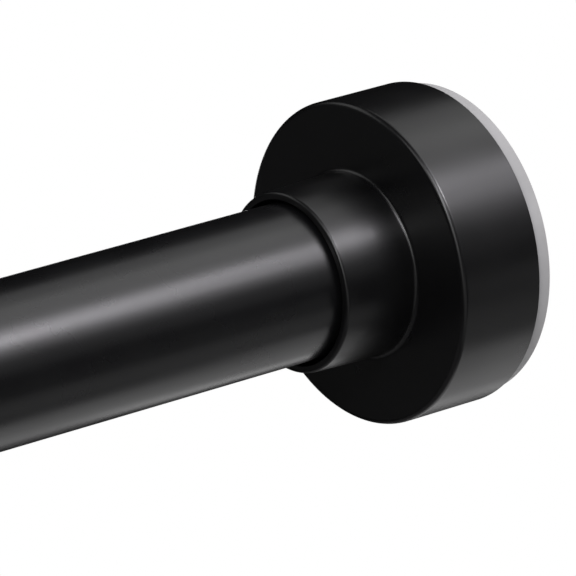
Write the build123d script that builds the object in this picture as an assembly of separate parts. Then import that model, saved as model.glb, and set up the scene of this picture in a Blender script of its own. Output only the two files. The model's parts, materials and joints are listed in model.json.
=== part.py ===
from build123d import *
import os

# Spring tension rod for a curtain, held between two walls by its own thrust.
# Two steel tubes telescope. A screw inside them sets the length as the thin tube is turned,
# and a coil spring behind the screw keeps the two rubber pads pressed on the walls.
# The rod lies along +X. The origin is the middle of the thick end's pad, on the wall.
# Sizes are in millimetres, and the rod is drawn at its shortest.

# Whole rod
collapsed_length = 406.4
extension = 203.2

# Tubes
outer_tube_radius = 12.7
outer_tube_wall = 0.8
inner_tube_wall = 0.7
telescope_gap = 0.8
bead_height = 0.45
bead_length = 2.4

# End caps and their pads
disc_radius = 26.2
disc_thickness = 15.75
disc_edge_round = 0.9
rim_wall = 2.2
face_wall = 2.4
floor_thickness = 2.55
neck_length = 13.9
lip_gap = 0.65
lip_wall = 1.25
lip_edge_round = 0.6
neck_flare = 0.4
neck_root_round = 0.7
relief_depth = 8.0
rib_count = 6
rib_thickness = 1.6
pad_thickness = 2.95
pad_inset = 0.8
pad_edge_chamfer = 0.3
spigot_depth = 3.0
spigot_wall = 3.2

# Clearances
press_gap = 0.05
running_gap = 0.06
slide_gap = 0.1
seat_gap = 0.3
thread_gap = 0.4

# Lead screw
thread_radius = 6.1
thread_depth = 1.2
thread_lead = 10.0
ridge_crest = 4.2
ridge_flare = 1.1
shank_side = 7.7
seat_radius = 5.6
flange_radius = 7.4
flange_thickness = 1.5
tail_radius = 3.6
spigot_radius = 3.2
spigot_overhang = 0.5

# Anchor plug and what runs in it
plug_wall = 8.0
boss_length = 5.0
groove_count = 6
groove_radius = 1.4
cavity_wall = 2.65
tail_clearance = 4.7
nut_thickness = 5.0
nut_across_flats = 13.0
washer_thickness = 1.0
washer_overhang = 4.9
tail_end_length = 1.0

# Spring and its seats
spring_travel = 16.0
spring_length = 46.0
wire_radius = 1.0
wire_sides = 12
active_turns = 5
closed_pitch = 2.1
spring_side_gap = 1.9
pilot_gap = 0.45
seat_washer_thickness = 1.5
thrust_washer_thickness = 1.2
washer_side_gap = 0.9
collar_length = 6.5
collar_side_gap = 0.5

# Drive nut, travel stop and guides
drive_nut_length = 26.0
drive_nut_flange = 2.0
thread_entry = 1.2
collapse_gap = 1.0
stop_gap = 1.0
stop_length = 6.0
stop_side_gap = 1.0
guide_length = 12.0
guide_split = 1.6
bush_length = 14.0
bush_flange = 1.5
bush_lip = 0.3
bush_chamfer = 0.5
mouth_margin = 1.5
sleeve_setback = 2.6

# Pins
pin_radius = 1.5
pin_sink = 0.04
plug_pin_setback = 9.0
nut_pin_setback = 6.5
plug_pin_length = 2.4
nut_pin_length = 2.6
stop_pin_radius = 1.2

# Radii that follow from the tubes
outer_bore_radius = outer_tube_radius - outer_tube_wall
inner_tube_radius = outer_bore_radius - telescope_gap
inner_bore_radius = inner_tube_radius - inner_tube_wall
grip_radius = outer_tube_radius + press_gap
relief_radius = outer_tube_radius + lip_gap
lip_radius = relief_radius + lip_wall
neck_root_radius = lip_radius + neck_flare
rim_inner_radius = disc_radius - rim_wall
pad_radius = disc_radius - pad_inset
spring_radius = outer_bore_radius - spring_side_gap - wire_radius
pilot_radius = spring_radius - wire_radius - pilot_gap
thread_root_radius = thread_radius - thread_depth
plug_radius = outer_bore_radius - press_gap
cavity_radius = plug_radius - cavity_wall

# Places along the rod, from the wall inwards
cap_back = pad_thickness
tube_seat = cap_back + floor_thickness
disc_front = cap_back + disc_thickness
neck_mouth = disc_front + neck_length
tail_start = tube_seat + tail_clearance + spring_travel
tail_nut_start = tail_start + tail_end_length
tail_washer_start = tail_nut_start + nut_thickness
plug_wall_back = tail_washer_start + washer_thickness + seat_gap
plug_front = plug_wall_back + plug_wall
spring_start = plug_front + seat_washer_thickness
spring_end = spring_start + spring_length
collar_start = spring_end + thrust_washer_thickness
flange_start = collar_start + collar_length
thread_start = flange_start + flange_thickness
nut_start = thread_start + collapse_gap
inner_tube_start = nut_start + drive_nut_flange
nut_end = nut_start + drive_nut_length
guide_start = inner_tube_start + seat_gap
bead_start = guide_start + guide_length + seat_gap
stop_start = nut_end + extension + stop_gap
stop_end = stop_start + stop_length
inner_tube_end = collapsed_length - tube_seat
sliding_mouth = collapsed_length - neck_mouth
outer_tube_end = sliding_mouth - spring_travel - mouth_margin - bush_flange
plug_pin_place = tube_seat + plug_pin_setback
nut_pin_place = inner_tube_start + nut_pin_setback
stop_pin_place = (stop_start + stop_end) / 2


def turned(outline):
    """Turns a flat outline, drawn as x and radius, about the rod's axis."""
    return revolve(outline, Axis.X)


def outline_of(points):
    """Closes a list of (x, radius) points into a flat outline."""
    return make_face(Polyline(*points, close=True))


def rounded(outline, corner, radius):
    """Rounds the corner of an outline that lies nearest to the given point."""
    return fillet(outline.vertices().sort_by_distance(corner)[0], radius)


def bevelled(outline, corner, length):
    """Bevels the corner of an outline that lies nearest to the given point."""
    return chamfer(outline.vertices().sort_by_distance(corner)[0], length)


def cylinder(start, end, radius):
    """A solid cylinder along the rod's axis."""
    return extrude(Plane.YZ.offset(start) * Circle(radius), end - start)


def ring(start, end, outer_radius, inner_radius):
    """A plain tube or washer along the rod's axis."""
    return cylinder(start, end, outer_radius) - cylinder(start, end, inner_radius)


def cross_pin(position, radius, reach):
    """A pin, or the hole for one, right across the rod."""
    return Pos(position, 0, 0) * Cylinder(radius, 2 * reach)


def cross_pins(position, inner_radius, outer_radius, radius):
    """Two short pins across the rod, one above the axis and one below."""
    pin = Cylinder(radius, outer_radius - inner_radius, align=(Align.CENTER, Align.CENTER, Align.MIN))
    upper = Pos(position, 0, inner_radius) * pin
    return [upper, Rot(X=180) * upper]


def grooves(start, end, radius):
    """Shallow grooves that run along a moulded plug's side."""
    groove = Pos(0, radius, 0) * cylinder(start, end, groove_radius)
    return [Rot(X=360 * number / groove_count) * groove for number in range(groove_count)]


def end_cap():
    """Moulded cap: a thick disc, a neck round the tube and a ribbed hollow behind the face."""
    outline = outline_of(
        [
            (cap_back, disc_radius),
            (disc_front, disc_radius),
            (disc_front, neck_root_radius),
            (neck_mouth, lip_radius),
            (neck_mouth, relief_radius),
            (neck_mouth - relief_depth, relief_radius),
            (neck_mouth - relief_depth - lip_gap, grip_radius),
            (tube_seat, grip_radius),
            (tube_seat, 0),
            (cap_back, 0),
            (cap_back, neck_root_radius),
            (disc_front - face_wall, neck_root_radius),
            (disc_front - face_wall, rim_inner_radius),
            (cap_back, rim_inner_radius),
        ]
    )
    outline = rounded(outline, (disc_front, disc_radius), disc_edge_round)
    outline = rounded(outline, (disc_front, neck_root_radius), neck_root_round)
    outline = rounded(outline, (neck_mouth, lip_radius), lip_edge_round)
    shell = turned(outline)
    rib_start = cap_back + spigot_depth + seat_gap
    rib = Pos(rib_start, 0, neck_root_radius - rim_wall / 2) * Box(
        disc_front - face_wall - rib_start,
        rib_thickness,
        rim_inner_radius - neck_root_radius + rim_wall,
        align=(Align.MIN, Align.CENTER, Align.MIN),
    )
    for number in range(rib_count):
        shell += Rot(X=360 * number / rib_count) * rib
    return shell


def wall_pad():
    """Rubber pad that lies on the cap's back, with a ring that plugs into its hollow."""
    spigot_outer = rim_inner_radius - slide_gap
    outline = outline_of(
        [
            (0, 0),
            (0, pad_radius),
            (pad_thickness, pad_radius),
            (pad_thickness, spigot_outer),
            (pad_thickness + spigot_depth, spigot_outer),
            (pad_thickness + spigot_depth, spigot_outer - spigot_wall),
            (pad_thickness, spigot_outer - spigot_wall),
            (pad_thickness, 0),
        ]
    )
    outline = bevelled(outline, (0, pad_radius), pad_edge_chamfer)
    outline = bevelled(outline, (pad_thickness, pad_radius), pad_edge_chamfer)
    return turned(outline)


def outer_tube():
    """Thick tube, drilled for the pins that hold the anchor plug."""
    tube = ring(tube_seat, outer_tube_end, outer_tube_radius, outer_bore_radius)
    return tube - cross_pin(plug_pin_place, pin_radius + press_gap, outer_tube_radius + pin_radius)


def inner_tube():
    """Thin tube with a rolled bead that keeps the guide sleeve in place."""
    bead_end = bead_start + bead_length
    bead_middle = bead_start + bead_length / 2
    top = ThreePointArc(
        (bead_start, inner_tube_radius),
        (bead_middle, inner_tube_radius + bead_height),
        (bead_end, inner_tube_radius),
    )
    bottom = ThreePointArc(
        (bead_end, inner_bore_radius),
        (bead_middle, inner_bore_radius + bead_height),
        (bead_start, inner_bore_radius),
    )
    far_end = Polyline(
        (bead_end, inner_tube_radius),
        (inner_tube_end, inner_tube_radius),
        (inner_tube_end, inner_bore_radius),
        (bead_end, inner_bore_radius),
    )
    near_end = Polyline(
        (bead_start, inner_bore_radius),
        (inner_tube_start, inner_bore_radius),
        (inner_tube_start, inner_tube_radius),
        (bead_start, inner_tube_radius),
    )
    tube = turned(make_face(Curve() + [top, far_end, bottom, near_end]))
    return tube - cross_pin(nut_pin_place, pin_radius + press_gap, inner_tube_radius + pin_radius)


def anchor_plug():
    """Plug pinned in the thick tube: a square way for the screw and a hollow for its tail."""
    body = cylinder(tube_seat, plug_front, plug_radius)
    body += cylinder(plug_front, plug_front + boss_length, pilot_radius)
    body -= cylinder(tube_seat, plug_wall_back, cavity_radius)
    hole = Rectangle(shank_side + 2 * slide_gap, shank_side + 2 * slide_gap)
    body -= extrude(Plane.YZ.offset(plug_wall_back) * hole, plug_wall + boss_length)
    body -= grooves(tube_seat, plug_front, plug_radius)
    return body - cross_pin(plug_pin_place, pin_radius + press_gap, outer_tube_radius)


def thread_ridge(root_radius, crest_radius, start, end):
    """Helical ridge of a coarse right-hand thread, with its phase set by the screw's start."""
    turns_back = (thread_start - start) / thread_lead
    path = Helix(thread_lead, end - start, root_radius, center=(start, 0, 0), direction=(1, 0, 0))
    outward = (path @ 0) - Vector(start, 0, 0)
    section_plane = Plane(origin=path @ 0, x_dir=(1, 0, 0), z_dir=outward.cross(Vector(1, 0, 0)))
    depth = crest_radius - root_radius
    inset = thread_depth / 4
    profile = Polyline(
        (-ridge_crest / 2 - ridge_flare, -inset),
        (-ridge_crest / 2, depth),
        (ridge_crest / 2, depth),
        (ridge_crest / 2 + ridge_flare, -inset),
        close=True,
    )
    ridge = sweep(section_plane * make_face(profile), path=path, is_frenet=True)
    return Rot(X=-360 * turns_back) * ridge


def lead_screw():
    """Screw with a coarse thread, a flange for the spring's thrust and a square sliding shank."""
    shank_start = tail_washer_start + washer_thickness
    shank_end = spring_end - boss_length
    screw = cylinder(tail_start, shank_start, tail_radius)
    shank = Rectangle(shank_side, shank_side)
    screw += extrude(Plane.YZ.offset(shank_start) * shank, shank_end - shank_start)
    screw += cylinder(shank_end, flange_start, seat_radius)
    screw += cylinder(flange_start, thread_start, flange_radius)
    screw += cylinder(thread_start, stop_start, thread_root_radius)
    ridge_inset = ridge_crest / 2 + ridge_flare
    screw += thread_ridge(
        thread_root_radius, thread_radius, thread_start + ridge_inset, stop_start - ridge_inset
    )
    screw += cylinder(stop_start, stop_end + spigot_overhang, spigot_radius)
    return screw - cross_pin(stop_pin_place, stop_pin_radius + press_gap, thread_radius)


def drive_nut():
    """Nut pinned in the thin tube's end, with the screw's thread cut in it."""
    body = cylinder(nut_start, inner_tube_start, inner_tube_radius + telescope_gap / 2)
    body += cylinder(inner_tube_start, nut_end, inner_bore_radius - press_gap)
    body -= cylinder(nut_start, nut_end, thread_root_radius + thread_gap)
    body -= thread_ridge(
        thread_root_radius + thread_gap,
        thread_radius + thread_gap,
        nut_start - thread_lead,
        nut_end + thread_lead,
    )
    entry = outline_of(
        [
            (0, 0),
            (0, thread_radius + thread_gap + thread_entry),
            (thread_entry + thread_depth, thread_root_radius + thread_gap),
            (thread_entry + thread_depth, 0),
        ]
    )
    body -= Pos(X=nut_start) * turned(entry)
    body -= Pos(X=nut_end) * Rot(Z=180) * turned(entry)
    body -= grooves(inner_tube_start, nut_end, inner_bore_radius)
    pin_bottom = inner_bore_radius - nut_pin_length
    return body - cross_pins(nut_pin_place, pin_bottom, inner_tube_radius, pin_radius + press_gap)


def tension_spring():
    """Compression spring with closed ends ground flat, its round wire drawn with many narrow flats."""
    active_length = spring_length - 2 * closed_pitch
    coils = [
        (closed_pitch, closed_pitch, spring_start),
        (active_length / active_turns, active_length, spring_start + closed_pitch),
        (closed_pitch, closed_pitch, spring_end - closed_pitch),
    ]
    path = Wire(
        [
            Edge.make_helix(pitch, height, spring_radius, (start, 0, 0), (1, 0, 0))
            for pitch, height, start in coils
        ]
    )
    section = Plane(path @ 0, z_dir=path % 0) * RegularPolygon(wire_radius, wire_sides)
    wire = sweep(section, path=path, is_frenet=True)
    return wire & cylinder(spring_start, spring_end, outer_bore_radius)


def spring_collar():
    """Plastic collar that centres the spring and bears on the screw's flange."""
    collar = cylinder(collar_start, flange_start, outer_bore_radius - collar_side_gap)
    collar += cylinder(spring_end - boss_length, collar_start, pilot_radius)
    return collar - cylinder(spring_end - boss_length, flange_start, seat_radius + press_gap)


def tail_nut():
    """Hexagon nut that stops the screw on the anchor plug."""
    hexagon = RegularPolygon(nut_across_flats / 2, 6, major_radius=False)
    nut = extrude(Plane.YZ.offset(tail_nut_start) * hexagon, nut_thickness)
    return nut - cylinder(tail_nut_start, tail_washer_start, tail_radius + press_gap)


def mouth_bush():
    """Plastic bush in the thick tube's mouth, with a lip that covers the tube's edge."""
    outline = outline_of(
        [
            (outer_tube_end - bush_length, outer_bore_radius - press_gap),
            (outer_tube_end, outer_bore_radius - press_gap),
            (outer_tube_end, outer_tube_radius + bush_lip),
            (outer_tube_end + bush_flange, outer_tube_radius + bush_lip),
            (outer_tube_end + bush_flange, inner_tube_radius + slide_gap),
            (outer_tube_end - bush_length, inner_tube_radius + slide_gap),
        ]
    )
    bush_end = outer_tube_end + bush_flange
    outline = bevelled(outline, (bush_end, outer_tube_radius + bush_lip), bush_chamfer)
    return turned(bevelled(outline, (bush_end, inner_tube_radius + slide_gap), bush_chamfer))


def guide_sleeve():
    """Thin plastic sleeve, split along its side so that it snaps over the thin tube."""
    sleeve = ring(
        guide_start,
        guide_start + guide_length,
        outer_bore_radius - running_gap,
        inner_tube_radius + running_gap,
    )
    split = Box(guide_length, outer_bore_radius, guide_split, align=(Align.MIN, Align.MIN, Align.CENTER))
    return sleeve - Pos(X=guide_start) * split


def travel_stop():
    """Disc pinned on the screw's end, which the drive nut meets at full length."""
    stop = ring(stop_start, stop_end, inner_bore_radius - stop_side_gap, spigot_radius + press_gap)
    return stop - cross_pin(stop_pin_place, stop_pin_radius + press_gap, inner_bore_radius)


def at_sliding_end(piece):
    """Turns a piece of the fixed end round, to the far end of the rod."""
    return Pos(X=collapsed_length) * Rot(Z=180) * piece


cap = end_cap()
pad = wall_pad()
plug_pin_top = outer_tube_radius - pin_sink
nut_pin_top = inner_tube_radius - pin_sink
stop_pin_reach = inner_bore_radius - stop_side_gap - pin_sink

pieces = {
    "end_cap_fixed": cap,
    "wall_pad_fixed": pad,
    "outer_tube": outer_tube(),
    "anchor_plug": anchor_plug(),
    "plug_pins": cross_pins(plug_pin_place, plug_radius - plug_pin_length, plug_pin_top, pin_radius),
    "seat_washer": ring(
        plug_front, spring_start, outer_bore_radius - washer_side_gap, pilot_radius + running_gap
    ),
    "tension_spring": tension_spring(),
    "mouth_bush": mouth_bush(),
    "lead_screw": lead_screw(),
    "thrust_washer": ring(
        spring_end, collar_start, outer_bore_radius - washer_side_gap, pilot_radius + running_gap
    ),
    "spring_collar": spring_collar(),
    "tail_washer": ring(
        tail_washer_start,
        tail_washer_start + washer_thickness,
        tail_radius + washer_overhang,
        tail_radius + running_gap,
    ),
    "tail_nut": tail_nut(),
    "travel_stop": travel_stop(),
    "stop_pin": cross_pin(stop_pin_place, stop_pin_radius, stop_pin_reach),
    "guide_sleeve": guide_sleeve(),
    "inner_tube": inner_tube(),
    "drive_nut": drive_nut(),
    "nut_pins": cross_pins(nut_pin_place, inner_bore_radius - nut_pin_length, nut_pin_top, pin_radius),
    "reducer_sleeve": ring(
        sliding_mouth + sleeve_setback, inner_tube_end, outer_tube_radius, inner_tube_radius + press_gap
    ),
    "end_cap_sliding": at_sliding_end(cap),
    "wall_pad_sliding": at_sliding_end(pad),
}

os.makedirs("parts", exist_ok=True)
for name, piece in pieces.items():
    solid = Compound(children=piece) if isinstance(piece, list) else piece
    export_step(solid, f"parts/{name}.step")
    print(name, round(sum(part.volume for part in solid.solids()), 1))
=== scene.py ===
import json
import math

import bmesh
import bpy
from mathutils import Matrix, Vector


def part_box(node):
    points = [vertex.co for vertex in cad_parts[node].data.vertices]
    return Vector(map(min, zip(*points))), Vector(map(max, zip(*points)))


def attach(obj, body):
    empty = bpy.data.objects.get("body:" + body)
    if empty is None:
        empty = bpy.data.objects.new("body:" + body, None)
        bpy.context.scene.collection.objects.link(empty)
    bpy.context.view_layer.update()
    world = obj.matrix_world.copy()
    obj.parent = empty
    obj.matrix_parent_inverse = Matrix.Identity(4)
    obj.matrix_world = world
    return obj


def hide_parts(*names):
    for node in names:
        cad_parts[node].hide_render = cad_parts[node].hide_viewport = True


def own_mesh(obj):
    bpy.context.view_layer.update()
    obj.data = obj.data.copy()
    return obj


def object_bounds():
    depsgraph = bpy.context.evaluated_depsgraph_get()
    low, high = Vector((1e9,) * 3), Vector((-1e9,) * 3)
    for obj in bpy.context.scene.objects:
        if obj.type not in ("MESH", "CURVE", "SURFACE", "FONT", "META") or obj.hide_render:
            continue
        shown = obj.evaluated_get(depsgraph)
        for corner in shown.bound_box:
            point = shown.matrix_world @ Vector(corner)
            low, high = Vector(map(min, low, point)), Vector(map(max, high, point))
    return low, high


# Spring tension rod, seen past its thick end. Everything is in metres in the rod's own frame:
# +X runs along the rod, from the fixed end's wall, and +Z is up.
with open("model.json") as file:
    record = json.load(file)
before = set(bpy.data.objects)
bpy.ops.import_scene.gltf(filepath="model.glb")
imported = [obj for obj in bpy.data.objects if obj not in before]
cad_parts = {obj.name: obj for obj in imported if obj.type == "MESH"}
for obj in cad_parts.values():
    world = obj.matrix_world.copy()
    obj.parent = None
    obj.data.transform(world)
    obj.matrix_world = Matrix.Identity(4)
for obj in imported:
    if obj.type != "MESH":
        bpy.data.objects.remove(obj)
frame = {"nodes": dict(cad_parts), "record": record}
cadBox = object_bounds()
mm = 0.001
scene = bpy.context.scene
rodEnd = cadBox[1][0]
slotOfNode = {part["node"]: part["material_slot"] for part in frame["record"]["subparts"]}
bodyOfNode = {
    node: body
    for body, members in frame["record"]["behaviour"]["bodies"].items()
    for node in members
}
print("frame loaded:", len(frame["nodes"]), "nodes")


# the camera of the photo
cameraSettings = {
    "lens": 406.22,
    "sensor": 36.0,
    "clipStart": 0.05,
    "imageSize": 576,
    "azimuth": 139.755,
    "elevation": 19.659,
    "distance": 1.0275,
    "aimX": 18.2 * mm,  # on the axis, by the disc's face
    "aimColumn": 357.47,
    "aimRow": 263.18,
}


def addCamera(settings):
    azimuth = math.radians(settings["azimuth"])
    elevation = math.radians(settings["elevation"])
    back = Vector((
        math.sin(azimuth) * math.cos(elevation),
        -math.cos(azimuth) * math.cos(elevation),
        math.sin(elevation),
    ))
    right = Vector((math.cos(azimuth), math.sin(azimuth), 0))
    level = Matrix((right, back.cross(right), back)).transposed()
    # the aimed point sits off the picture's centre, so the camera is turned a little
    centre = settings["imageSize"] / 2
    focal = settings["lens"] / settings["sensor"] * settings["imageSize"]
    sight = Vector((
        (settings["aimColumn"] - centre) / focal,
        (centre - settings["aimRow"]) / focal,
        -1,
    ))
    turn = Vector((0, 0, -1)).rotation_difference(sight).to_matrix()
    data = bpy.data.cameras.new("photoCamera")
    data.lens = settings["lens"]
    data.sensor_width = settings["sensor"]
    data.clip_start = settings["clipStart"]
    camera = bpy.data.objects.new("photoCamera", data)
    place = Vector((settings["aimX"], 0, 0)) + back * settings["distance"]
    camera.matrix_world = Matrix.Translation(place) @ (level @ turn.inverted()).to_4x4()
    scene.collection.objects.link(camera)
    scene.camera = camera


addCamera(cameraSettings)
print("camera placed")


# effects that several finishes share
def newGroup(name, inputs, outputs):
    group = bpy.data.node_groups.new(name, "ShaderNodeTree")
    for label, kind in inputs:
        group.interface.new_socket(label, in_out="INPUT", socket_type=kind)
    for label, kind in outputs:
        group.interface.new_socket(label, in_out="OUTPUT", socket_type=kind)
    return group, group.nodes.new("NodeGroupInput"), group.nodes.new("NodeGroupOutput")


def spreadNoise(group, source, settings):
    # noise from the group's inputs, stretched so that it reaches both ends of its range
    noise = group.nodes.new("ShaderNodeTexNoise")
    noise.inputs["Detail"].default_value = settings["detail"]
    spread = group.nodes.new("ShaderNodeMapRange")
    spread.inputs["From Min"].default_value = settings["low"]
    spread.inputs["From Max"].default_value = settings["high"]
    group.links.new(source.outputs["Vector"], noise.inputs["Vector"])
    group.links.new(source.outputs["Scale"], noise.inputs["Scale"])
    group.links.new(noise.outputs["Fac"], spread.inputs["Value"])
    return spread


grainEffect = {"pebbleDetail": 3, "pebbleRoughness": 0.6, "waveStretch": 9, "waveDetail": 1}


def fineGrain(settings):
    # skin of a moulded or sprayed surface: fine pebbles over slow waves
    group, source, result = newGroup(
        "fineGrain",
        [
            ("Vector", "NodeSocketVector"),
            ("Scale", "NodeSocketFloat"),
            ("Waves", "NodeSocketFloat"),
        ],
        [("Height", "NodeSocketFloat")],
    )
    nodes, links = group.nodes, group.links
    pebbles = nodes.new("ShaderNodeTexNoise")
    pebbles.inputs["Detail"].default_value = settings["pebbleDetail"]
    pebbles.inputs["Roughness"].default_value = settings["pebbleRoughness"]
    slower = nodes.new("ShaderNodeMath")
    slower.operation = "DIVIDE"
    slower.inputs[1].default_value = settings["waveStretch"]
    waves = nodes.new("ShaderNodeTexNoise")
    waves.inputs["Detail"].default_value = settings["waveDetail"]
    mix = nodes.new("ShaderNodeMix")
    links.new(source.outputs["Vector"], pebbles.inputs["Vector"])
    links.new(source.outputs["Scale"], pebbles.inputs["Scale"])
    links.new(source.outputs["Scale"], slower.inputs[0])
    links.new(source.outputs["Vector"], waves.inputs["Vector"])
    links.new(slower.outputs[0], waves.inputs["Scale"])
    links.new(source.outputs["Waves"], mix.inputs["Factor"])
    links.new(pebbles.outputs["Fac"], mix.inputs["A"])
    links.new(waves.outputs["Fac"], mix.inputs["B"])
    links.new(mix.outputs["Result"], result.inputs["Height"])
    return group


glossEffect = {"detail": 4, "low": 0.3, "high": 0.7}


def patchyGloss(settings):
    # gloss that drifts a little from place to place
    group, source, result = newGroup(
        "patchyGloss",
        [
            ("Vector", "NodeSocketVector"),
            ("Scale", "NodeSocketFloat"),
            ("Least", "NodeSocketFloat"),
            ("Most", "NodeSocketFloat"),
        ],
        [("Roughness", "NodeSocketFloat")],
    )
    drift = spreadNoise(group, source, settings)
    group.links.new(source.outputs["Least"], drift.inputs["To Min"])
    group.links.new(source.outputs["Most"], drift.inputs["To Max"])
    group.links.new(drift.outputs["Result"], result.inputs["Roughness"])
    return group


blotchEffect = {"detail": 5, "low": 0.32, "high": 0.68}


def mottledColour(settings):
    # two close colours, blotched into one another
    group, source, result = newGroup(
        "mottledColour",
        [
            ("Vector", "NodeSocketVector"),
            ("Scale", "NodeSocketFloat"),
            ("Dark", "NodeSocketColor"),
            ("Light", "NodeSocketColor"),
        ],
        [("Color", "NodeSocketColor")],
    )
    blotches = spreadNoise(group, source, settings)
    mix = group.nodes.new("ShaderNodeMix")
    mix.data_type = "RGBA"
    group.links.new(blotches.outputs["Result"], mix.inputs["Factor"])
    group.links.new(source.outputs["Dark"], mix.inputs["A"])
    group.links.new(source.outputs["Light"], mix.inputs["B"])
    group.links.new(mix.outputs["Result"], result.inputs["Color"])
    return group


effects = {
    "grain": fineGrain(grainEffect),
    "gloss": patchyGloss(glossEffect),
    "colour": mottledColour(blotchEffect),
}
print("shared effects built:", len(effects))


# finishes, one for each kind of piece
def newFinish(name):
    material = bpy.data.materials.new(name)
    material.use_nodes = True
    return material, material.node_tree.nodes.get("Principled BSDF")


def addEffect(material, effect, values):
    # places a shared effect in a material, in the piece's own space, with these values
    nodes, links = material.node_tree.nodes, material.node_tree.links
    node = nodes.new("ShaderNodeGroup")
    node.node_tree = effects[effect]
    place = nodes.new("ShaderNodeTexCoord")
    links.new(place.outputs["Object"], node.inputs["Vector"])
    for label, value in values.items():
        node.inputs[label].default_value = value
    return node


def addSkin(material, shader, settings):
    # colour, gloss and grain, which each finish has in its own measure
    links = material.node_tree.links
    colour = addEffect(material, "colour", {
        "Scale": settings["blotches"],
        "Dark": (*settings["dark"], 1),
        "Light": (*settings["light"], 1),
    })
    links.new(colour.outputs["Color"], shader.inputs["Base Color"])
    gloss = addEffect(material, "gloss", {
        "Scale": settings["glossPatches"],
        "Least": settings["smoothest"],
        "Most": settings["roughest"],
    })
    links.new(gloss.outputs["Roughness"], shader.inputs["Roughness"])
    grain = addEffect(material, "grain", {
        "Scale": settings["grainScale"],
        "Waves": settings["waves"],
    })
    bump = material.node_tree.nodes.new("ShaderNodeBump")
    bump.inputs["Strength"].default_value = settings["bumpStrength"]
    bump.inputs["Distance"].default_value = settings["bumpDepth"]
    links.new(grain.outputs["Height"], bump.inputs["Height"])
    links.new(bump.outputs["Normal"], shader.inputs["Normal"])


blackPaint = {
    "dark": (0.0030, 0.0030, 0.0033),
    "light": (0.0044, 0.0044, 0.0048),
    "blotches": 60,
    "glossPatches": 90,
    "smoothest": 0.26,
    "roughest": 0.30,
    "grainScale": 2600,
    "waves": 0.3,
    "bumpStrength": 0.12,
    "bumpDepth": 0.02 * mm,
    "indexOfRefraction": 1.54,
}


def satinPaint(settings):
    material, shader = newFinish("tube_paint")
    shader.inputs["IOR"].default_value = settings["indexOfRefraction"]
    addSkin(material, shader, settings)
    return material


blackPlastic = {
    "dark": (0.0024, 0.0024, 0.0026),
    "light": (0.0036, 0.0036, 0.0039),
    "blotches": 45,
    "glossPatches": 70,
    "smoothest": 0.27,
    "roughest": 0.33,
    "grainScale": 1900,
    "waves": 0.45,
    "bumpStrength": 0.18,
    "bumpDepth": 0.02 * mm,
    "indexOfRefraction": 1.5,
}


def mouldedPlastic(settings, name):
    material, shader = newFinish(name)
    shader.inputs["IOR"].default_value = settings["indexOfRefraction"]
    addSkin(material, shader, settings)
    return material


bushPlastic = {
    "dark": (0.008, 0.008, 0.0085),
    "light": (0.012, 0.012, 0.0125),
    "blotches": 80,
    "glossPatches": 120,
    "smoothest": 0.42,
    "roughest": 0.52,
    "grainScale": 2200,
    "waves": 0.3,
    "bumpStrength": 0.35,
    "bumpDepth": 0.03 * mm,
    "indexOfRefraction": 1.5,
}

nylon = {
    "dark": (0.60, 0.59, 0.545),
    "light": (0.70, 0.69, 0.645),
    "blotches": 70,
    "glossPatches": 110,
    "smoothest": 0.36,
    "roughest": 0.48,
    "grainScale": 1500,
    "waves": 0.4,
    "bumpStrength": 0.3,
    "bumpDepth": 0.04 * mm,
    "glow": 0.08,
    "glowDepth": 1.5 * mm,
    "glowTint": (1.0, 0.9, 0.75),
}


def naturalNylon(settings):
    material, shader = newFinish("inner_plastic")
    shader.inputs["Subsurface Weight"].default_value = settings["glow"]
    shader.inputs["Subsurface Scale"].default_value = settings["glowDepth"]
    shader.inputs["Subsurface Radius"].default_value = settings["glowTint"]
    addSkin(material, shader, settings)
    return material


greyRubber = {
    "dark": (0.315, 0.314, 0.3125),
    "light": (0.36, 0.359, 0.3575),
    "blotches": 140,
    "glossPatches": 200,
    "smoothest": 0.72,
    "roughest": 0.86,
    "grainScale": 2400,
    "waves": 0.25,
    "bumpStrength": 0.5,
    "bumpDepth": 0.06 * mm,
    "shine": 0.3,
    "bloom": 0.12,
    "bloomRoughness": 0.6,
}


def softRubber(settings):
    # the pad's dull skin, with a faint bloom at grazing sight
    material, shader = newFinish("pad_rubber")
    shader.inputs["Specular IOR Level"].default_value = settings["shine"]
    shader.inputs["Sheen Weight"].default_value = settings["bloom"]
    shader.inputs["Sheen Roughness"].default_value = settings["bloomRoughness"]
    addSkin(material, shader, settings)
    return material


zincSteel = {
    "dark": (0.50, 0.50, 0.49),
    "light": (0.64, 0.64, 0.63),
    "blotches": 260,
    "glossPatches": 320,
    "smoothest": 0.24,
    "roughest": 0.42,
    "grainScale": 3200,
    "waves": 0.2,
    "bumpStrength": 0.3,
    "bumpDepth": 0.015 * mm,
}

drawnWire = {
    "dark": (0.30, 0.30, 0.31),
    "light": (0.46, 0.46, 0.47),
    "blotches": 420,
    "glossPatches": 500,
    "smoothest": 0.28,
    "roughest": 0.40,
    "grainScale": 4200,
    "waves": 0.1,
    "bumpStrength": 0.35,
    "bumpDepth": 0.012 * mm,
}


def platedMetal(settings, name):
    material, shader = newFinish(name)
    shader.inputs["Metallic"].default_value = 1
    addSkin(material, shader, settings)
    return material


finishes = {
    "tube_paint": satinPaint(blackPaint),
    "cap_plastic": mouldedPlastic(blackPlastic, "cap_plastic"),
    "bush_plastic": mouldedPlastic(bushPlastic, "bush_plastic"),
    "inner_plastic": naturalNylon(nylon),
    "pad_rubber": softRubber(greyRubber),
    "steel": platedMetal(zincSteel, "steel"),
    "spring_steel": platedMetal(drawnWire, "spring_steel"),
}
print("finishes made:", len(finishes))


# pieces turned about the rod's axis
lathe = {
    "sides": 288,
    "roundSteps": 8,
    "smoothAngle": 28,
    "mergeDistance": 0.001 * mm,
    "normalWeight": 100,
}


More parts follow.
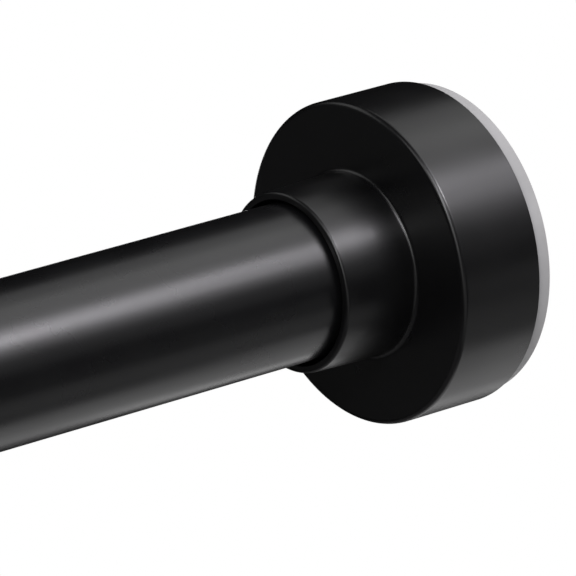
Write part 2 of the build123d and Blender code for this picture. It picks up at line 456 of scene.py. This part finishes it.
def softenCorners(corners):
    # corners are (x, radius, rounding); each rounding becomes a short arc
    outline = []
    for number, (x, radius, rounding) in enumerate(corners):
        corner = Vector((x, radius))
        if not rounding:
            outline.append(corner)
            continue
        before = (Vector(corners[number - 1][:2]) - corner).normalized()
        after = (Vector(corners[(number + 1) % len(corners)][:2]) - corner).normalized()
        halfAngle = before.angle(after) / 2
        middle = corner + (before + after).normalized() * (rounding / math.sin(halfAngle))
        first = corner + before * (rounding / math.tan(halfAngle)) - middle
        last = corner + after * (rounding / math.tan(halfAngle)) - middle
        for step in range(lathe["roundSteps"] + 1):
            spoke = first.slerp(last, step / lathe["roundSteps"]).normalized()
            outline.append(middle + spoke * rounding)
    return outline


def turnProfile(mesh, corners):
    # spins a closed outline about the rod's axis
    outline = softenCorners(corners)
    sides = lathe["sides"]
    rings = []
    for x, radius in outline:
        ring = []
        for side in range(sides):
            angle = 2 * math.pi * side / sides
            ring.append(mesh.verts.new((x, radius * math.cos(angle), radius * math.sin(angle))))
        rings.append(ring)
    for number, ring in enumerate(rings):
        following = rings[(number + 1) % len(rings)]
        for side in range(sides):
            nextSide = (side + 1) % sides
            mesh.faces.new((ring[side], ring[nextSide], following[nextSide], following[side]))


def finishPiece(name, mesh, node):
    # closes the mesh, shades it and lets it stand for its CAD node
    bmesh.ops.remove_doubles(mesh, verts=mesh.verts, dist=lathe["mergeDistance"])
    bmesh.ops.recalc_face_normals(mesh, faces=mesh.faces)
    data = bpy.data.meshes.new(name)
    mesh.to_mesh(data)
    mesh.free()
    data.shade_smooth()
    data.set_sharp_from_angle(angle=math.radians(lathe["smoothAngle"]))
    piece = bpy.data.objects.new(name, data)
    scene.collection.objects.link(piece)
    weights = piece.modifiers.new("evenNormals", "WEIGHTED_NORMAL")
    weights.keep_sharp = True
    weights.weight = lathe["normalWeight"]
    slotName = slotOfNode[node]
    data.materials.append(finishes[slotName])
    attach(piece, bodyOfNode[node])
    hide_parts(node)


def turnedPiece(name, corners, node):
    mesh = bmesh.new()
    turnProfile(mesh, corners)
    finishPiece(name, mesh, node)


def placeCorners(corners, turnedRound):
    # the sliding end's pieces face the other way
    if not turnedRound:
        return corners
    return [(rodEnd - x, radius, rounding) for x, radius, rounding in corners]


capSettings = {
    "neckRootRadius": 15.0 * mm,
    "neckMouthRadius": 14.6 * mm,
    "mouthInnerRadius": 13.35 * mm,
    "gripRadius": 12.75 * mm,
    "mouthDepth": 8.0 * mm,
    "mouthStep": 0.65 * mm,
    "discFront": 18.7 * mm,
    "floorThickness": 2.55 * mm,
    "faceWall": 2.4 * mm,
    "rimWall": 2.2 * mm,
    "discEdgeRound": 0.9 * mm,
    "rootRound": 0.7 * mm,
    "lipRound": 0.6 * mm,
    "smallRound": 0.15 * mm,
    "ribCount": 6,
    "ribThickness": 1.6 * mm,
    "ribSetback": 3.3 * mm,
    "ribSinkFace": 0.6 * mm,
    "ribSinkRim": 1.1 * mm,
}


def endCap(node, turnedRound, settings):
    low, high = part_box(node)
    back = low[0] if not turnedRound else rodEnd - high[0]
    mouth = high[0] if not turnedRound else rodEnd - low[0]
    discRadius = high[2]
    front = settings["discFront"]
    root = settings["neckRootRadius"]
    hollow = discRadius - settings["rimWall"]
    behindFace = front - settings["faceWall"]
    socketFloor = back + settings["floorThickness"]
    gripStart = mouth - settings["mouthDepth"] - settings["mouthStep"]
    small = settings["smallRound"]
    corners = [
        (back, discRadius, small),
        (front, discRadius, settings["discEdgeRound"]),
        (front, root, settings["rootRound"]),
        (mouth, settings["neckMouthRadius"], settings["lipRound"]),
        (mouth, settings["mouthInnerRadius"], small),
        (gripStart + settings["mouthStep"], settings["mouthInnerRadius"], small),
        (gripStart, settings["gripRadius"], 0),
        (socketFloor, settings["gripRadius"], small),
        (socketFloor, 0, 0),
        (back, 0, 0),
        (back, root, small),
        (behindFace, root, small),
        (behindFace, hollow, small),
        (back, hollow, small),
    ]
    mesh = bmesh.new()
    turnProfile(mesh, placeCorners(corners, turnedRound))
    # stiffening ribs in the hollow, sunk a little into the face and the rim
    ribStart = back + settings["ribSetback"]
    ribLength = behindFace - ribStart + settings["ribSinkFace"]
    ribHeight = hollow - root + settings["ribSinkRim"]
    middleX = ribStart + ribLength / 2
    if turnedRound:
        middleX = rodEnd - middleX
    size = Matrix.Diagonal((ribLength, settings["ribThickness"], ribHeight, 1))
    place = Matrix.Translation((middleX, 0, (hollow + root) / 2))
    for number in range(settings["ribCount"]):
        turn = Matrix.Rotation(2 * math.pi * number / settings["ribCount"], 4, "X")
        bmesh.ops.create_cube(mesh, size=1, matrix=turn @ place @ size)
    finishPiece("blackCap" + ("Sliding" if turnedRound else "Fixed"), mesh, node)


padSettings = {
    "spigotDepth": 3.0 * mm,
    "spigotRadius": 23.9 * mm,
    "spigotWall": 3.2 * mm,
    "thickness": 2.95 * mm,
    "edgeRound": 0.3 * mm,
    "smallRound": 0.12 * mm,
}


def wallPad(node, turnedRound, settings):
    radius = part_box(node)[1][2]
    wall = 0.0
    seat = settings["thickness"]
    tip = seat + settings["spigotDepth"]
    inner = settings["spigotRadius"] - settings["spigotWall"]
    small = settings["smallRound"]
    corners = [
        (wall, 0, 0),
        (wall, radius, settings["edgeRound"]),
        (seat, radius, settings["edgeRound"]),
        (seat, settings["spigotRadius"], 0),
        (tip, settings["spigotRadius"], small),
        (tip, inner, small),
        (seat, inner, 0),
        (seat, 0, 0),
    ]
    name = "greyPad" + ("Sliding" if turnedRound else "Fixed")
    turnedPiece(name, placeCorners(corners, turnedRound), node)


for turnedRound, ending in ((False, "fixed"), (True, "sliding")):
    endCap("end_cap_" + ending, turnedRound, capSettings)
    wallPad("wall_pad_" + ending, turnedRound, padSettings)
print("caps and pads turned")


thickTubeSettings = {"wall": 0.8 * mm, "edgeRound": 0.2 * mm}


def thickTube(settings):
    low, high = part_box("outer_tube")
    inner = high[2] - settings["wall"]
    edge = settings["edgeRound"]
    corners = [
        (low[0], high[2], edge),
        (high[0], high[2], edge),
        (high[0], inner, edge),
        (low[0], inner, edge),
    ]
    turnedPiece("thickTube", corners, "outer_tube")


thinTubeSettings = {
    "radius": 11.1 * mm,
    "wall": 0.7 * mm,
    "edgeRound": 0.18 * mm,
    "beadStart": 113.8 * mm,
    "beadLength": 2.4 * mm,
    "beadHeight": 0.45 * mm,
    "beadSteps": 12,
}


def thinTube(settings):
    low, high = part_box("inner_tube")
    inner = settings["radius"] - settings["wall"]
    edge = settings["edgeRound"]

    def bead(radius):
        # a shallow arc that stands out from the tube
        half, rise = settings["beadLength"] / 2, settings["beadHeight"]
        curve = (half * half + rise * rise) / (2 * rise)
        points = []
        for step in range(settings["beadSteps"] + 1):
            along = settings["beadLength"] * step / settings["beadSteps"]
            height = math.sqrt(curve * curve - (along - half) ** 2) - (curve - rise)
            points.append((settings["beadStart"] + along, radius + height, 0))
        return points

    corners = [(low[0], settings["radius"], edge)]
    corners += bead(settings["radius"])
    corners += [(high[0], settings["radius"], edge), (high[0], inner, edge)]
    corners += reversed(bead(inner))
    corners += [(low[0], inner, edge)]
    turnedPiece("thinTube", corners, "inner_tube")


bushSettings = {
    "tubeBore": 11.9 * mm,
    "fitGap": 0.05 * mm,
    "innerRadius": 11.2 * mm,
    "flange": 1.5 * mm,
    "flangeEdge": 0.5 * mm,
    "smallRound": 0.12 * mm,
}


def mouthBush(settings):
    low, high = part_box("mouth_bush")
    neck = high[0] - settings["flange"]
    plug = settings["tubeBore"] - settings["fitGap"]
    small = settings["smallRound"]
    corners = [
        (low[0], plug, small),
        (neck, plug, 0),
        (neck, high[2], small),
        (high[0], high[2], settings["flangeEdge"]),
        (high[0], settings["innerRadius"], settings["flangeEdge"]),
        (low[0], settings["innerRadius"], small),
    ]
    turnedPiece("mouthBush", corners, "mouth_bush")


sleeveSettings = {"innerRadius": 11.15 * mm, "edgeRound": 0.25 * mm}


def reducerSleeve(settings):
    low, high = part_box("reducer_sleeve")
    edge = settings["edgeRound"]
    corners = [
        (low[0], high[2], edge),
        (high[0], high[2], edge),
        (high[0], settings["innerRadius"], edge),
        (low[0], settings["innerRadius"], edge),
    ]
    turnedPiece("reducerSleeve", corners, "reducer_sleeve")


thickTube(thickTubeSettings)
thinTube(thinTubeSettings)
mouthBush(bushSettings)
reducerSleeve(sleeveSettings)
print("tubes, bush and sleeve turned")


# inner pieces keep the CAD's own shapes
innerSettings = {"smoothAngle": 32}


def dressNode(node, settings):
    piece = frame["nodes"][node]
    piece.data.materials.clear()
    piece.data.materials.append(finishes[slotOfNode[node]])
    piece.data.shade_smooth()
    piece.data.set_sharp_from_angle(angle=math.radians(settings["smoothAngle"]))


turnedNodes = {
    "end_cap_fixed", "wall_pad_fixed", "end_cap_sliding", "wall_pad_sliding",
    "outer_tube", "inner_tube", "mouth_bush", "reducer_sleeve",
}
for node in sorted(set(frame["nodes"]) - turnedNodes):
    dressNode(node, innerSettings)
print("inner pieces dressed:", len(frame["nodes"]) - len(turnedNodes))


# the spring, which shortens as the screw is pressed in, gets a mesh of its own here
springSettings = {"node": "tension_spring", "joint": "spring_press"}


def shorteningSpring(settings):
    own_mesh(frame["nodes"][settings["node"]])


shorteningSpring(springSettings)


# floor, background and lights
floorSettings = {
    "height": -0.25,
    "left": -0.6,
    "right": 0.5,
    "back": -0.17,
    "front": 0.18,
    "colour": (0.78, 0.78, 0.78),
    "dimColour": (0.12, 0.12, 0.12),
    "lift": 0.62,
    "roughness": 0.9,
}


def paleFloor(settings):
    data = bpy.data.meshes.new("paleFloor")
    z = settings["height"]
    data.from_pydata(
        [
            (settings["left"], settings["back"], z),
            (settings["right"], settings["back"], z),
            (settings["right"], settings["front"], z),
            (settings["left"], settings["front"], z),
        ],
        [],
        [(0, 1, 2, 3)],
    )
    floor = bpy.data.objects.new("paleFloor", data)
    scene.collection.objects.link(floor)
    material = bpy.data.materials.new("paleFloor")
    material.use_nodes = True
    nodes, links = material.node_tree.nodes, material.node_tree.links
    shader = nodes.get("Principled BSDF")
    shader.inputs["Roughness"].default_value = settings["roughness"]
    # the camera sees the floor lifted to white with the object's shadow on it,
    # while the rod's gloss mirrors a dim floor
    sight = nodes.new("ShaderNodeLightPath")
    tone = nodes.new("ShaderNodeMix")
    tone.data_type = "RGBA"
    tone.inputs["A"].default_value = (*settings["colour"], 1)
    tone.inputs["B"].default_value = (*settings["dimColour"], 1)
    links.new(sight.outputs["Is Glossy Ray"], tone.inputs["Factor"])
    links.new(tone.outputs["Result"], shader.inputs["Base Color"])
    lift = nodes.new("ShaderNodeMath")
    lift.operation = "MULTIPLY"
    lift.inputs[1].default_value = settings["lift"]
    shader.inputs["Emission Color"].default_value = (1, 1, 1, 1)
    links.new(sight.outputs["Is Camera Ray"], lift.inputs[0])
    links.new(lift.outputs[0], shader.inputs["Emission Strength"])
    data.materials.append(material)


surroundings = {"white": 1.0, "dim": 0.0015}


def whiteBackground(settings):
    # white where the camera looks past the rod, dim for all other light
    world = bpy.data.worlds.new("studioWorld")
    scene.world = world
    world.use_nodes = True
    nodes, links = world.node_tree.nodes, world.node_tree.links
    background = nodes.get("Background")
    background.inputs["Color"].default_value = (1, 1, 1, 1)
    sight = nodes.new("ShaderNodeLightPath")
    level = nodes.new("ShaderNodeMapRange")
    level.inputs["To Min"].default_value = settings["dim"]
    level.inputs["To Max"].default_value = settings["white"]
    links.new(sight.outputs["Is Camera Ray"], level.inputs["Value"])
    links.new(level.outputs["Result"], background.inputs["Strength"])


# Each lamp is a soft strip that lies along the rod and faces it. Its angle is measured in
# degrees round the rod, from level on the camera's side up and over, and its middle is a
# place along the rod.
sharedLight = {"distance": 1.3, "colour": (1.0, 1.0, 1.0)}
keyTint = {"colour": (0.975, 0.95, 1.0)}
spillTint = {"colour": (0.985, 0.97, 1.0)}
nearFloor = {"distance": 0.24}
lightSettings = {
    # the bright line along the tube and its soft sides
    "keyLamp": {
        "angle": 54, "width": 0.136, "length": 0.5, "middle": -0.45, "power": 8.7, **keyTint,
    },
    "keyHead": {
        "angle": 60, "width": 0.136, "length": 0.5, "middle": -0.95, "power": 1.2, **keyTint,
    },
    "keyLow": {
        "angle": 48, "width": 0.136, "length": 1.0, "middle": -0.7, "power": 2.3, **keyTint,
    },
    "keyHigh": {
        "angle": 66, "width": 0.136, "length": 1.0, "middle": -0.7, "power": 2.4, **keyTint,
    },
    "keyEnd": {
        "angle": 57, "width": 0.553, "length": 0.7, "middle": 0.55, "power": 7.5, **keyTint,
    },
    "keySpill": {
        "angle": 39, "width": 0.273, "length": 1.0, "middle": -0.7, "power": 1.0, **spillTint,
    },
    # broad and dim, for the slow tones round the rod
    "frontSpill": {"angle": 21, "width": 0.553, "length": 1.0, "middle": -0.7, "power": 0.35},
    "overhead": {"angle": 87, "width": 0.845, "length": 1.0, "middle": -0.7, "power": 3.55},
    "overheadBack": {"angle": 117, "width": 0.553, "length": 1.0, "middle": -0.7, "power": 1.0},
    "overheadAhead": {"angle": 111, "width": 0.845, "length": 1.1, "middle": -1.75, "power": 6.45},
    "lowStrip": {"angle": -39, "width": 0.553, "length": 1.1, "middle": -0.75, "power": 0.64},
    "lowAhead": {"angle": -18, "width": 0.412, "length": 1.1, "middle": -1.75, "power": 1.7},
    # past the sliding end, for the disc's rounded edges and its face
    "edgeStrip": {"angle": 51, "width": 0.273, "length": 1.1, "middle": 1.45, "power": 10.3},
    "edgeTop": {"angle": 66, "width": 0.412, "length": 1.1, "middle": 1.45, "power": 1.2},
    "edgeOver": {"angle": 90, "width": 0.697, "length": 1.1, "middle": 1.45, "power": 4.2},
    "edgeSide": {"angle": 30, "width": 0.697, "length": 1.5, "middle": 1.65, "power": 6.0},
    "edgeFront": {"angle": -2.5, "width": 0.82, "length": 1.5, "middle": 1.65, "power": 1.9},
    "faceFill": {"angle": 190, "width": 1.5, "length": 1.5, "middle": 1.65, "power": 0.58},
    # the pads, and the side that the photo doesn't show
    "padFill": {"angle": -22.5, "width": 1.077, "length": 1.1, "middle": 0.45, "power": 1.2},
    "farSide": {"angle": 144, "width": 0.6, "length": 1.2, "middle": 0.75, "power": 2.0},
    "backStrip": {"angle": 203, "width": 0.35, "length": 1.0, "middle": -0.45, "power": 2.6},
    # just above the floor, for the undersides
    "underGlow": {
        "angle": -80, "width": 0.199, "length": 0.18, "middle": -0.22, "power": 0.08, **nearFloor,
    },
    "underBack": {
        "angle": -111, "width": 0.063, "length": 0.22, "middle": -0.2, "power": 0.041, **nearFloor,
    },
    "underNear": {
        "angle": -86, "width": 0.199, "length": 0.14, "middle": -0.05, "power": 0.058, **nearFloor,
    },
}


def softLight(name, settings):
    data = bpy.data.lights.new(name, "AREA")
    data.shape = "RECTANGLE"
    data.size = settings["length"]
    data.size_y = settings["width"]
    data.energy = settings["power"]
    data.color = settings["colour"]
    light = bpy.data.objects.new(name, data)
    angle = math.radians(settings["angle"])
    outward = Vector((0, math.cos(angle), math.sin(angle)))
    along = Vector((1, 0, 0))
    turn = Matrix((along, outward.cross(along), outward)).transposed()
    place = Vector((settings["middle"], 0, 0)) + outward * settings["distance"]
    light.matrix_world = Matrix.Translation(place) @ turn.to_4x4()
    light.visible_camera = False
    scene.collection.objects.link(light)


paleFloor(floorSettings)
whiteBackground(surroundings)
for name, settings in lightSettings.items():
    softLight(name, {**sharedLight, **settings})
scene.view_settings.view_transform = "Standard"
print("studio set")
